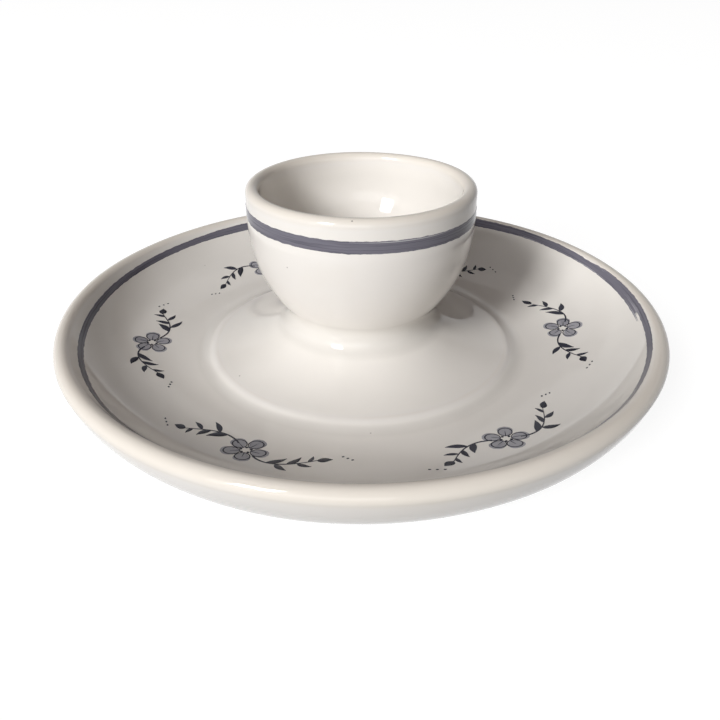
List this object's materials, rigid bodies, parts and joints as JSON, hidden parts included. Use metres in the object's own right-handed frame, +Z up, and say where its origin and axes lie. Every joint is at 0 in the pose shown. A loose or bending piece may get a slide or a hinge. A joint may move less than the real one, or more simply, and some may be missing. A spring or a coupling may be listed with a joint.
{
  "type": "egg cup",
  "caption": "Glazed earthenware egg cup fixed to its own saucer, with a round bowl on a flared boss, a foot ring and painted stripes.",
  "frame": {"origin": "on the axis of the cup, at the table, under the middle of the foot ring", "axes": "+Z up along the axis of the cup, +X and +Y in the table plane, the picture looks along +Y"},
  "size_m": [0.14, 0.14, 0.0477],
  "materials": {
    "clay": "bare fired earthenware, matt and slightly rough",
    "slip": "fired joining slip, matt",
    "glaze": "glossy opaque off-white tin glaze",
    "paint": "brushed grey-blue colour melted into the glaze, glossy"
  },
  "bodies": {
    "root": {"saucer": "clay", "luting_slip": "slip", "cup_bowl": "clay", "bowl_glaze": "glaze", "saucer_glaze": "glaze", "underside_glaze": "glaze", "cup_band": "paint", "rim_band": "paint"}
  },
  "joints": []
}
